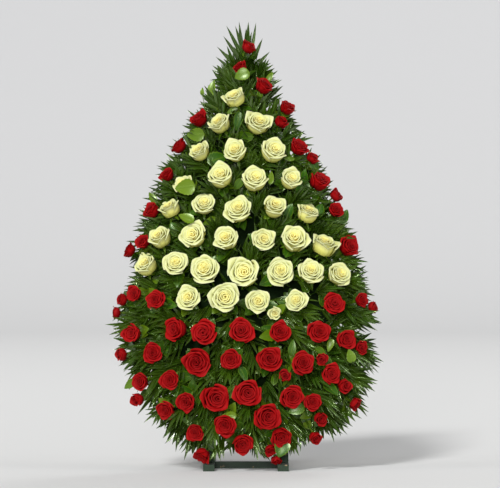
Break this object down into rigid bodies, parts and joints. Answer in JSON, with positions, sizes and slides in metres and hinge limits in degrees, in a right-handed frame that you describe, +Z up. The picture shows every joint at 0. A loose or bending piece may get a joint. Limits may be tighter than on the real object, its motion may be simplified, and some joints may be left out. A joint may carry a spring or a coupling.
{
  "type": "funeral wreath",
  "caption": "Teardrop funeral wreath of cream and red roses with palm fronds, on a leaning foam pad with a lath stand.",
  "frame": {"origin": "on the floor, at the middle of the base lath's underside, between the two runners", "axes": "+Z up, towards the teardrop's point; -Y out of the front that the roses face; +X to the viewer's right"},
  "size_m": [0.7338, 0.526, 1.1876],
  "materials": {
    "white_petals": "matte",
    "red_petals": "matte",
    "palm_leaf": "satin",
    "foam": "matte",
    "plywood": "matte",
    "lath_wood": "satin"
  },
  "bodies": {
    "root": {"white_roses_01": "white_petals", "white_roses_02": "white_petals", "white_roses_03": "white_petals", "white_roses_04": "white_petals", "white_roses_05": "white_petals", "white_roses_06": "white_petals", "white_roses_07": "white_petals", "white_roses_08": "white_petals", "white_roses_09": "white_petals", "white_roses_10": "white_petals", "white_roses_11": "white_petals", "white_roses_12": "white_petals", "white_roses_13": "white_petals", "red_roses_01": "red_petals", "red_roses_02": "red_petals", "red_roses_03": "red_petals", "red_roses_04": "red_petals", "red_roses_05": "red_petals", "red_roses_06": "red_petals", "red_roses_07": "red_petals", "red_roses_08": "red_petals", "red_roses_09": "red_petals", "red_roses_10": "red_petals", "red_roses_11": "red_petals", "red_roses_12": "red_petals", "red_roses_13": "red_petals", "red_roses_14": "red_petals", "red_roses_15": "red_petals", "red_roses_16": "red_petals", "red_roses_17": "red_petals", "red_roses_18": "red_petals", "red_roses_19": "red_petals", "red_roses_20": "red_petals", "red_roses_21": "red_petals", "red_roses_22": "red_petals", "palm_fronds_01": "palm_leaf", "palm_fronds_02": "palm_leaf", "palm_fronds_03": "palm_leaf", "palm_fronds_04": "palm_leaf", "palm_fronds_05": "palm_leaf", "palm_fronds_06": "palm_leaf", "palm_fronds_07": "palm_leaf", "palm_fronds_08": "palm_leaf", "palm_fronds_09": "palm_leaf", "palm_fronds_10": "palm_leaf", "palm_fronds_11": "palm_leaf", "palm_fronds_12": "palm_leaf", "palm_fronds_13": "palm_leaf", "palm_fronds_14": "palm_leaf", "foam_pad": "foam", "back_panel": "plywood", "rail_left": "lath_wood", "rail_right": "lath_wood", "spine_lath": "lath_wood", "cross_lath": "lath_wood", "prop_left": "lath_wood", "prop_right": "lath_wood", "runner_left": "lath_wood", "runner_right": "lath_wood", "base_lath": "lath_wood"}
  },
  "joints": []
}
